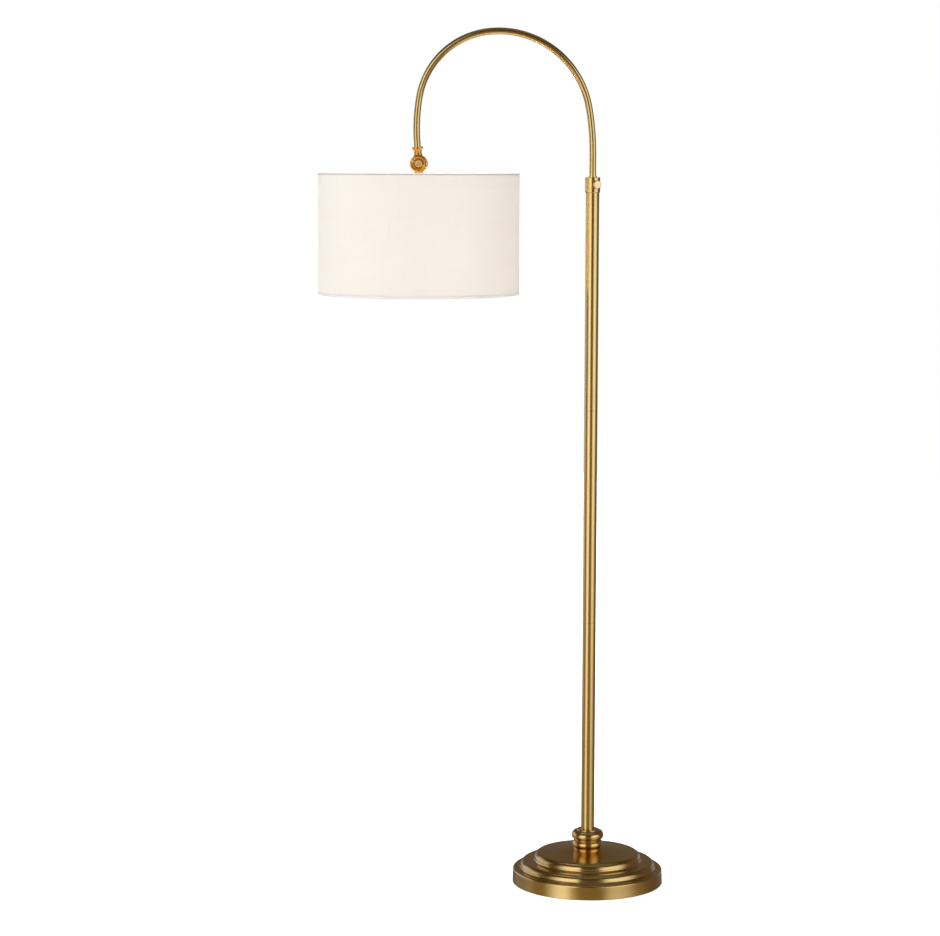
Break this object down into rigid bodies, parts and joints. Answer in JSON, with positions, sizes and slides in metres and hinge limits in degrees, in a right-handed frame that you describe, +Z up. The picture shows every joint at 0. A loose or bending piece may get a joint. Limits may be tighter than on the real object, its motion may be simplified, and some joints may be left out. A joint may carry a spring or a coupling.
{
  "type": "arc floor lamp",
  "caption": "Floor lamp with a stepped round base, a slim upright pole, a hooped arc arm and a drum shade hung from a tilting knuckle.",
  "frame": {"origin": "on the floor, under the pole's axis", "axes": "+Z up along the pole, -X from the pole towards the shade, -Y towards the viewer who sees the shade on the left"},
  "size_m": [0.6638, 0.3818, 1.6361],
  "materials": {
    "aged_brass": "brushed, lacquered antique brass",
    "polished_brass": "turned and polished brass",
    "golden_brass": "cast and polished golden brass",
    "socket_brass": "thin drawn brass",
    "zinc_steel": "zinc plated steel",
    "cast_iron": "rough black cast iron",
    "foot_foam": "fine black foam",
    "black_moulding": "satin black moulding",
    "white_nylon": "natural nylon",
    "fibre": "brown vulcanised fibre",
    "lead_jacket": "amber flexible jacket",
    "shade_linen": "warm white woven linen",
    "shade_film": "white translucent film",
    "hem_tape": "pale grey woven tape",
    "white_wire": "white powder coat",
    "bulb_cap_metal": "rolled aluminium thread",
    "bulb_frosted": "frosted glass",
    "bulb_core": "white light mount"
  },
  "bodies": {
    "stand": {"floor_pad": "foot_foam", "plate_screws": "zinc_steel", "bottom_plate": "zinc_steel", "ballast": "cast_iron", "base_cover": "aged_brass", "base_neck": "aged_brass", "base_rod": "zinc_steel", "base_washer": "zinc_steel", "base_nut": "zinc_steel", "cord_grommet": "black_moulding", "pole_lower": "aged_brass", "pole_middle": "aged_brass", "pole_upper": "aged_brass", "pole_foot_insert": "zinc_steel", "lower_joint_socket": "zinc_steel", "lower_joint_stud": "zinc_steel", "upper_joint_socket": "zinc_steel", "upper_joint_stud": "zinc_steel", "pole_collar": "aged_brass", "collar_bush": "aged_brass", "pole_lead": "lead_jacket"},
    "arm_guide": {"arm_guide_bush": "white_nylon"},
    "arm": {"arm_tube": "aged_brass", "arm_lead": "lead_jacket", "guide_clip": "zinc_steel", "knuckle_upper": "golden_brass", "friction_washer": "fibre"},
    "lock_pressure": {"lock_pad": "white_nylon"},
    "lock_key": {"lock_screw": "zinc_steel", "lock_knob": "polished_brass"},
    "key_spacer": {"key_washer": "golden_brass"},
    "tilt_key": {"knuckle_screw": "zinc_steel", "knuckle_key": "golden_brass"},
    "shade_head": {"knuckle_lower": "golden_brass", "shade_fabric": "shade_linen", "shade_liner": "shade_film", "shade_top_hem": "hem_tape", "shade_bottom_hem": "hem_tape", "spider_hub": "white_wire", "spider_arms": "white_wire", "shade_top_ring": "white_wire", "shade_bottom_ring": "white_wire", "shade_stem": "zinc_steel", "stem_nut": "zinc_steel", "socket_cap": "socket_brass", "socket_shell": "socket_brass", "socket_sleeve": "fibre", "socket_core": "black_moulding", "socket_screw_shell": "socket_brass", "socket_contact": "socket_brass", "bulb_cap": "bulb_cap_metal", "bulb_glass": "bulb_frosted", "bulb_mount": "bulb_core", "socket_lead": "lead_jacket"},
    "switch": {"switch_knob": "black_moulding"}
  },
  "joints": [
    {"name": "arm_height", "type": "slide", "parent": "stand", "child": "arm_guide", "axis": [0, 0, 1], "range_m": [-0.03, 0.25], "deforming": ["pole_lead"]},
    {"name": "arm_swivel", "type": "hinge", "parent": "arm_guide", "child": "arm", "pos_m": [0, 0, 1.02], "axis": [0, 0, 1], "range_deg": [-180, 180]},
    {"name": "lock_travel", "type": "slide", "parent": "stand", "child": "lock_pressure", "axis": [0.4226, -0.9063, 0], "range_m": [0, 0.0017]},
    {"name": "lock_turn", "type": "hinge", "parent": "lock_pressure", "child": "lock_key", "pos_m": [0, 0, 1.3434], "axis": [0.4226, -0.9063, 0], "range_deg": [0, 720]},
    {"name": "key_travel", "type": "slide", "parent": "arm", "child": "key_spacer", "axis": [0, -1, 0], "range_m": [0, 0.00052]},
    {"name": "key_turn", "type": "hinge", "parent": "key_spacer", "child": "tilt_key", "pos_m": [-0.32845, 0, 1.38149], "axis": [0, -1, 0], "range_deg": [0, 180]},
    {"name": "shade_tilt", "type": "hinge", "parent": "arm", "child": "shade_head", "pos_m": [-0.32845, 0, 1.38149], "axis": [0, 1, 0], "range_deg": [-40, 60]},
    {"name": "switch_turn", "type": "hinge", "parent": "shade_head", "child": "switch", "pos_m": [-0.32845, 0, 1.32499], "axis": [0, -1, 0], "continuous": true}
  ],
  "couplings": [
    {"joint": "lock_travel", "follows": "lock_turn", "m_per_rad": 0.00012732},
    {"joint": "key_travel", "follows": "key_turn", "m_per_rad": 0.00015915}
  ]
}
